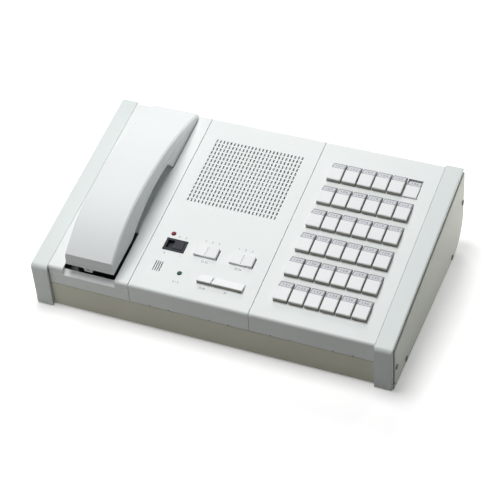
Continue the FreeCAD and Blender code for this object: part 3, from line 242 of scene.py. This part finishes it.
# Sill in front of the wells, where a highlight is painted: a ramp that rises to the rear
SILL_RISE = 0.70
SILL_REAR_S = 7.8
SILL_REAR_N = -4.0
SILL_TOP = -3.9
SILL_BAND = 0.2

# Block of the microphone under the front of the handset, where shade is painted below the rim
MOUTH_MIDDLE = -120.4
MOUTH_HALF = 20.3
MOUTH_FRONT = 14.5
MOUTH_REAR = 100.0
MOUTH_TOP = 5.0

# Painted shade on the lower part of the keys; on the call keys only on the front face
PAINTED_SHADE_TOP = 3.5
CALL_KEY_FACE = 24.9
BEHIND_ALL_KEYS = 1000.0


def well_shade_and_sill_highlight(nodes, place, base):
    """Painted shade in the wells, black in front and grey behind, and a pale painted highlight on the
    sill in front of them.
    """
    s = nodes.slope_part(place, "s")
    n = nodes.slope_part(place, "n")
    ramp_height = nodes.math("SUBTRACT", n, nodes.math("MULTIPLY", s, SILL_RISE))
    ramp_level = SILL_REAR_N - SILL_REAR_S * SILL_RISE
    on_ramp = nodes.between(ramp_height, (ramp_level - SILL_BAND) * MM, (ramp_level + SILL_BAND) * MM)
    on_sill = nodes.math("MULTIPLY", on_ramp, nodes.math("LESS_THAN", n, SILL_TOP * MM))
    # Painted highlight on the sill
    with_sill_highlight = nodes.mix(on_sill, base, SILL_HIGHLIGHT)
    # Painted shade in the wells: black in front, grey further back
    backwards = nodes.fade(s, WELL_FADE_START * MM, WELL_FADE_END * MM)
    painted_well_shade = nodes.mix(backwards, DARK, WELL_SHADE_GREY)
    between_lips = nodes.between(s, WELL_FRONT * MM, WELL_REAR * MM)
    below_top = nodes.math("LESS_THAN", n, WELL_TOP * MM)
    return nodes.mix(nodes.math("MULTIPLY", between_lips, below_top), with_sill_highlight, painted_well_shade)


def painted_mouth_shade(nodes, place, base):
    """Painted shade: the block that holds the microphone is painted black below the rim of the handset.
    """
    across = nodes.add("ShaderNodeSeparateXYZ")
    nodes.link(place, across.inputs[0])
    left = (MOUTH_MIDDLE - MOUTH_HALF) * MM
    right = (MOUTH_MIDDLE + MOUTH_HALF) * MM
    in_width = nodes.between(across.outputs["X"], left, right)
    in_length = nodes.between(nodes.slope_part(place, "s"), MOUTH_FRONT * MM, MOUTH_REAR * MM)
    below_rim = nodes.math("LESS_THAN", nodes.slope_part(place, "n"), MOUTH_TOP * MM)
    inside = nodes.math("MULTIPLY", nodes.math("MULTIPLY", in_width, in_length), below_rim)
    return nodes.mix(inside, base, DARK)


def key_shade_mask(sink=0.0, rear=BEHIND_ALL_KEYS):
    """Painted shade on the lower part of a key, as far back as rear; sink is how deep the key rests."""

    def mask(nodes, place, base):
        below = nodes.math("LESS_THAN", nodes.slope_part(place, "n"), (PAINTED_SHADE_TOP - sink) * MM)
        ahead = nodes.math("LESS_THAN", nodes.slope_part(place, "s"), rear * MM)
        return nodes.mix(nodes.math("MULTIPLY", below, ahead), base, PAINTED_KEY_SHADE)

    return mask


# Lenses of the indicator lamps
LENS_ROUGHNESS = 0.35
LENS_SPECULAR = 0.2
LENS_CLOUD = 900.0
LENS_DETAIL = 2.0
LENS_SHADE = 0.7


def lens(name, colour):
    """Coloured plastic of an indicator lamp, slightly clouded."""
    material, nodes, place, shader = new_surface(name)
    shader.inputs["Roughness"].default_value = LENS_ROUGHNESS
    shader.inputs["Specular IOR Level"].default_value = LENS_SPECULAR
    cloud = nodes.noise(place, LENS_CLOUD, LENS_DETAIL)
    nodes.link(nodes.mix(cloud, shade(colour, LENS_SHADE), colour), shader.inputs["Base Color"])
    return material


# Weave of the loudspeaker's cloth and cone
CLOTH_ROUGHNESS = 0.95
THREADS_EACH_METRE = 2500.0


def cloth(name):
    """Grey weave of two threads."""
    material, nodes, place, shader = new_surface(name)
    shader.inputs["Roughness"].default_value = CLOTH_ROUGHNESS
    weave = nodes.add("ShaderNodeTexChecker", Scale=THREADS_EACH_METRE)
    nodes.link(place, weave.inputs["Vector"])
    weave.inputs["Color1"].default_value = (*LIGHT_THREAD, 1)
    weave.inputs["Color2"].default_value = (*DARK_THREAD, 1)
    nodes.link(weave.outputs["Color"], shader.inputs["Base Color"])
    return material


# Materials
panel_plastic = moulded("panel_plastic", PANEL, roughness=0.5, grain=0.05)
# The cradle panel carries painted shade in its wells and a painted highlight on its sill
cradle_plastic = moulded("cradle_plastic", PANEL, roughness=0.5, grain=0.05, mask=well_shade_and_sill_highlight)
cheek_plastic = moulded("cheek_plastic", CHEEK, roughness=0.45, grain=0.05)
plate_plastic = moulded("plate_plastic", PLATE, roughness=0.5, grain=0.08)
base_paint = moulded("base_paint", BASE, roughness=0.55, grain=0.10, spread=0.05, grain_scale=PAINT_GRAIN)
handset_plastic = moulded("handset_plastic", HANDSET, roughness=0.5, grain=0.03, specular=0.3)
# The inner shell carries painted shade on the microphone block
mouth_plastic = moulded("mouth_plastic", HANDSET, roughness=0.5, grain=0.03, specular=0.3,
                        mask=painted_mouth_shade)
# The keys carry painted shade on their lower part, the call keys on their front face
key_plastic = moulded("key_plastic", KEY, roughness=0.4, grain=0.03, mask=key_shade_mask())
latched_plastic = moulded("latched_plastic", KEY, roughness=0.4, grain=0.03,
                          mask=key_shade_mask(sink=KEY_TRAVEL))
call_plastic = moulded("call_plastic", KEY, roughness=0.4, grain=0.03,
                       mask=key_shade_mask(rear=CALL_KEY_FACE))
rocker_plastic = moulded("rocker_plastic", KEY, roughness=0.4, grain=0.03)
slate_plastic = moulded("slate_plastic", SLATE, roughness=0.6, grain=0.08, spread=0.15, specular=0.2)
grey_plastic = moulded("grey_plastic", KNOB_GREY, roughness=0.6, grain=0.08, spread=0.15, specular=0.2)
black_plastic = moulded("black_plastic", DARK, roughness=0.4, grain=0.08, spread=0.3)
screw_metal = moulded("screw_metal", SCREW, roughness=0.35, grain=0.05, spread=0.2)
foot_rubber = moulded("foot_rubber_skin", RUBBER, roughness=0.8, grain=0.2, spread=0.2)
board_lacquer = moulded("board_green", BOARD_GREEN, roughness=0.4, grain=0.05, spread=0.2)
card_paper = moulded("card_paper", CARD, roughness=0.7, grain=0.04, spread=0.04)
# Dark plate under the label cards, painted shadow at their edges
edge_shade_plastic = moulded("edge_shade_plastic", LABEL_EDGE_SHADE, roughness=0.5, grain=0.04, spread=0.08)
print_ink = moulded("print_ink", INK, roughness=0.6, grain=0.02, spread=0.15)
speaker_paper = cloth("speaker_paper_skin")
speaker_cloth = cloth("speaker_cloth_weave")

LOOKS = {
    "base_pan": base_paint,
    "left_cheek": cheek_plastic,
    "right_cheek": cheek_plastic,
    "side_plates": plate_plastic,
    "side_screws": screw_metal,
    "feet": foot_rubber,
    "rear_socket": black_plastic,
    "cradle_panel": cradle_plastic,
    "control_panel": panel_plastic,
    "key_panel": panel_plastic,
    "circuit_board": board_lacquer,
    "speaker": speaker_paper,
    "switch_bezel": slate_plastic,
    "slide_knob": grey_plastic,
    "red_lamp": lens("red_lens_skin", RED_LENS),
    "green_lamp": lens("green_lens_skin", GREEN_LENS),
    "hook_plunger": black_plastic,
    "handset_outer_shell": handset_plastic,
    "handset_inner_shell": mouth_plastic,
    "handset_capsules": black_plastic,
    "short_key": call_plastic,
    "long_key": call_plastic,
    "left_rocker": rocker_plastic,
    "right_rocker": rocker_plastic,
    "station_key_%02d" % LATCHED_KEY: latched_plastic,
}
for name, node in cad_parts.items():
    look = LOOKS.get(name, key_plastic)
    if not node.material_slots:
        node.data.materials.append(look)
    for entry in node.material_slots:
        entry.material = look


# The rim of the handset is rounded
RIM_ROUNDING = 0.55
RIM_SEGMENTS = 3
RIM_ANGLE = 35
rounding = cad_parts["handset_outer_shell"].modifiers.new("rim_rounding", "BEVEL")
rounding.width = RIM_ROUNDING * MM
rounding.segments = RIM_SEGMENTS
rounding.limit_method = "ANGLE"
rounding.angle_limit = math.radians(RIM_ANGLE)
rounding.harden_normals = True

# Flat pieces and print
CORNER_STEPS = 4
CORNER_SIGNS = ((1, 1), (-1, 1), (-1, -1), (1, -1))
PRINT_THICKNESS = 0.02
LETTER_CURVE_STEPS = 2


def flat_plate(name, width, length, thickness, radius, material):
    """A thin plate with rounded corners, centred on its own origin, face up."""
    points = []
    for corner, (sign_x, sign_y) in enumerate(CORNER_SIGNS):
        for step in range(CORNER_STEPS + 1):
            turn = math.radians(90 * (corner + step / CORNER_STEPS))
            x = sign_x * (width / 2 - radius) + radius * math.cos(turn)
            y = sign_y * (length / 2 - radius) + radius * math.sin(turn)
            points.append((x * MM, y * MM))
    count = len(points)
    vertices = [(x, y, height) for height in (0, thickness * MM) for x, y in points]
    faces = [tuple(range(count, 2 * count)), tuple(reversed(range(count)))]
    for index in range(count):
        following = (index + 1) % count
        faces.append((index, following, count + following, count + index))
    mesh = bpy.data.meshes.new(name)
    mesh.from_pydata(vertices, [], faces)
    mesh.materials.append(material)
    plate = bpy.data.objects.new(name, mesh)
    bpy.context.scene.collection.objects.link(plate)
    return plate


def printed(name, words, height, matrix, body, spacing=1.0):
    """Printed characters lying flat on a surface."""
    curve = bpy.data.curves.new(name, "FONT")
    curve.body = words
    curve.size = height * MM
    curve.align_x = "CENTER"
    curve.align_y = "CENTER"
    curve.space_character = spacing
    curve.extrude = PRINT_THICKNESS * MM
    curve.resolution_u = LETTER_CURVE_STEPS
    curve.materials.append(print_ink)
    text = bpy.data.objects.new(name, curve)
    bpy.context.scene.collection.objects.link(text)
    text.matrix_world = matrix
    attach(text, body)


# Labels on the sloping strip of every selector key: a dark plate whose rim is painted shadow, a paper
# card and a plain number
STRIP_LENGTH = KEY_LENGTH - KEY_CAP_LENGTH
STRIP_ANGLE = math.atan((KEY_REAR_HEIGHT - KEY_FRONT_HEIGHT) / STRIP_LENGTH)
STRIP_MIDDLE_S = (KEY_CAP_LENGTH + KEY_LENGTH) / 2
STRIP_MIDDLE_N = (KEY_FRONT_HEIGHT + KEY_REAR_HEIGHT) / 2
LABEL_CORNER = 0.5
LABEL_EDGE_SHADE_MARGIN = 0.3
LABEL_EDGE_SHADE_WIDTH = KEY_WIDTH - 2 * LABEL_EDGE_SHADE_MARGIN
LABEL_EDGE_SHADE_LENGTH = 8.6
LABEL_EDGE_SHADE_THICKNESS = 0.10
CARD_MARGIN = 1.1
CARD_WIDTH = KEY_WIDTH - 2 * CARD_MARGIN
CARD_LENGTH = 7.0
CARD_THICKNESS = 0.16
CARD_SHIFT = (0.15 * MM, -0.3 * MM, 0)
NUMBER_SHIFT = (0, -0.5 * MM, 0.17 * MM)
NUMBER_HEIGHT = 4.2
NUMBER_SPACING = 1.3
FIRST_NUMBER = 101


def add_label(number, column, row):
    """The label of one selector key, which rides on that key."""
    body = "station_key_%02d" % number
    x = KEY_FIELD_MIDDLE + (column - (KEY_COLUMNS - 1) / 2) * KEY_PITCH_X
    s = KEY_FRONT_S + row * KEY_PITCH_S + STRIP_MIDDLE_S
    sink = KEY_TRAVEL if number == LATCHED_KEY else 0.0
    strip = on_slope(x, s, STRIP_MIDDLE_N - sink) @ Matrix.Rotation(STRIP_ANGLE, 4, "X")
    # Dark plate whose rim around the card is painted shadow
    edge_shade = flat_plate("label_edge_shade_%02d" % number, LABEL_EDGE_SHADE_WIDTH, LABEL_EDGE_SHADE_LENGTH, LABEL_EDGE_SHADE_THICKNESS,
                        LABEL_CORNER, edge_shade_plastic)
    edge_shade.matrix_world = strip
    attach(edge_shade, body)
    card = flat_plate("label_card_%02d" % number, CARD_WIDTH, CARD_LENGTH, CARD_THICKNESS,
                      LABEL_CORNER, card_paper)
    card.matrix_world = strip @ Matrix.Translation(CARD_SHIFT)
    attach(card, body)
    place = strip @ Matrix.Translation(NUMBER_SHIFT)
    words = str(FIRST_NUMBER - 1 + number)
    printed("label_number_%02d" % number, words, NUMBER_HEIGHT, place, body, NUMBER_SPACING)


for row in range(KEY_ROWS):
    for column in range(KEY_COLUMNS):
        number = (KEY_ROWS - 1 - row) * KEY_COLUMNS + column + 1
        add_label(number, column, row)

# Scale of three marks above each rocker: the side and the x of the middle mark
PRINT_LEVEL = 0.01
MARK_COUNT = 3
MARK_PITCH = 6.8
MARK_HEIGHT = 3.4
MARK_S = 72.8
for side, middle in (("left", -20.3), ("right", 14.0)):
    for index in range(MARK_COUNT):
        place = on_slope(middle + (index - 1) * MARK_PITCH, MARK_S, PRINT_LEVEL)
        printed("%s_rocker_mark_%d" % (side, index + 1), str(index + 1), MARK_HEIGHT, place, "console")

# Plain numbers where the console has small print: name, number, x and s
SMALL_PRINT_HEIGHT = 3.0
SMALL_PRINT = (
    ("slide_mark_left", "0", -61.5, 48.8),
    ("slide_mark_right", "1", -45.0, 48.9),
    ("slide_scale_left", "2", -54.2, 70.8),
    ("slide_scale_right", "3", -47.3, 71.1),
    ("left_rocker_number", "51 52", -19.5, 48.8),
    ("right_rocker_number", "53 54", 14.6, 49.3),
    ("green_lamp_number", "0 1 2", -37.3, 19.6),
    ("short_key_number", "55 56", -10.3, 19.5),
    ("long_key_number", "57", 13.3, 20.1),
)
for name, words, x, s in SMALL_PRINT:
    printed(name, words, SMALL_PRINT_HEIGHT, on_slope(x, s, PRINT_LEVEL), "console")

# Cloth close under the grille
CLOTH_WIDTH = 96.0
CLOTH_LENGTH = 84.0
CLOTH_THICKNESS = 0.25
CLOTH_CORNER = 2.0
GRILLE_MIDDLE_X = -18.9
GRILLE_MIDDLE_S = 155.9
CLOTH_LEVEL = -2.78
grille_cloth = flat_plate("grille_cloth", CLOTH_WIDTH, CLOTH_LENGTH, CLOTH_THICKNESS, CLOTH_CORNER,
                          speaker_cloth)
grille_cloth.matrix_world = on_slope(GRILLE_MIDDLE_X, GRILLE_MIDDLE_S, CLOTH_LEVEL)
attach(grille_cloth, "console")

# Floor, in metres: seen as white away from the console, with the shadow left dark close to it
FLOOR_SIZE = 12.0
FLOOR_CLOUD = 3.0
FLOOR_DETAIL = 2.0
FLOOR_TONES = ((0.42, 0.415, 0.405), (0.44, 0.435, 0.425))
FLOOR_SEEN = (0.93, 0.93, 0.93)
GLOW_NEAR = 0.30
GLOW_FAR = 1.0
GLOW_FADE_START = 0.26
GLOW_FADE_END = 1.6


def make_floor():
    """A pale floor that keeps the shadow and glows more the farther it lies from the console."""
    bpy.ops.mesh.primitive_plane_add(size=FLOOR_SIZE)
    floor = bpy.context.object
    floor.name = "floor"
    material = bpy.data.materials.new("floor_paper")
    nodes = Nodes(material)
    place = nodes.add("ShaderNodeTexCoord").outputs["Object"]
    seen = nodes.seen_as_background()
    tone = nodes.mix(nodes.noise(place, FLOOR_CLOUD, FLOOR_DETAIL), *FLOOR_TONES)
    diffuse = nodes.add("ShaderNodeBsdfDiffuse")
    nodes.link(nodes.mix(seen, tone, FLOOR_SEEN), diffuse.inputs["Color"])
    distance = nodes.add("ShaderNodeVectorMath", operation="LENGTH")
    nodes.link(place, distance.inputs[0])
    outward = nodes.fade(distance.outputs["Value"], GLOW_FADE_START, GLOW_FADE_END)
    glow_level = nodes.math("MULTIPLY_ADD", outward, GLOW_FAR - GLOW_NEAR, GLOW_NEAR)
    glow = nodes.add("ShaderNodeEmission")
    nodes.link(nodes.math("MULTIPLY", seen, glow_level), glow.inputs["Strength"])
    both = nodes.add("ShaderNodeAddShader")
    nodes.link(diffuse.outputs[0], both.inputs[0])
    nodes.link(glow.outputs[0], both.inputs[1])
    output = nodes.add("ShaderNodeOutputMaterial")
    nodes.link(both.outputs[0], output.inputs[0])
    floor.data.materials.append(material)


make_floor()

# The air gives little light but is seen as white
AIR_LIGHT = 0.06
WHITE = (1.0, 1.0, 1.0)


def make_world():
    """The world: a weak even light, and a white background."""
    world = bpy.data.worlds.new("studio_air")
    bpy.context.scene.world = world
    nodes = Nodes(world)
    background = nodes.add("ShaderNodeBackground")
    background.inputs["Color"].default_value = (*WHITE, 1)
    strength = nodes.math("MULTIPLY_ADD", nodes.seen_as_background(), 1.0 - AIR_LIGHT, AIR_LIGHT)
    nodes.link(strength, background.inputs["Strength"])
    output = nodes.add("ShaderNodeOutputWorld")
    nodes.link(background.outputs[0], output.inputs[0])


make_world()


def add_lamp(name, place, target, width, power, colour=WHITE):
    """A square soft box that looks at a target; places in metres and power in watts."""
    light = bpy.data.lights.new(name, "AREA")
    light.size = width
    light.energy = power
    light.color = colour
    lamp = bpy.data.objects.new(name, light)
    bpy.context.scene.collection.objects.link(lamp)
    lamp.location = place
    lamp.rotation_euler = (Vector(target) - Vector(place)).to_track_quat("-Z", "Y").to_euler()


# Lamps: one above the console, one high behind it, and two weak ones low down, beside its front left
# corner and its rear right corner
CONSOLE_MIDDLE = (0.0, 0.0, 0.05)
FRONT_LEFT = (-0.17, -0.1, 0.03)
REAR_RIGHT = (0.18, 0.13, 0.05)
WARM_WHITE = (1.0, 0.98, 0.94)
SOFT_WHITE = (1.0, 0.99, 0.96)
add_lamp("key_box", (-0.24, 0.06, 1.35), CONSOLE_MIDDLE, width=0.7, power=14.3)
add_lamp("rear_box", (-0.30, 1.10, 0.95), CONSOLE_MIDDLE, width=0.5, power=5.0)
add_lamp("left_box", (-0.44, -0.40, 0.16), FRONT_LEFT, width=0.3, power=0.32, colour=WARM_WHITE)
add_lamp("right_box", (0.40, 0.40, 0.08), REAR_RIGHT, width=0.12, power=1.05, colour=SOFT_WHITE)

# Camera, fitted to the corners of the console in the photograph; metres, degrees and millimetres
CAMERA_PLACE = (0.49422, -1.04799, 1.08321)
CAMERA_TURN = (47.5594, 3.4239, 22.1181)
CAMERA_LENS = 114.588
CAMERA_SENSOR = 36.0
camera_data = bpy.data.cameras.new("camera")
camera_data.sensor_width = CAMERA_SENSOR
camera_data.lens = CAMERA_LENS
camera = bpy.data.objects.new("camera", camera_data)
bpy.context.scene.collection.objects.link(camera)
camera.location = CAMERA_PLACE
camera.rotation_euler = [math.radians(angle) for angle in CAMERA_TURN]
bpy.context.scene.camera = camera
bpy.context.scene.view_settings.view_transform = "Standard"
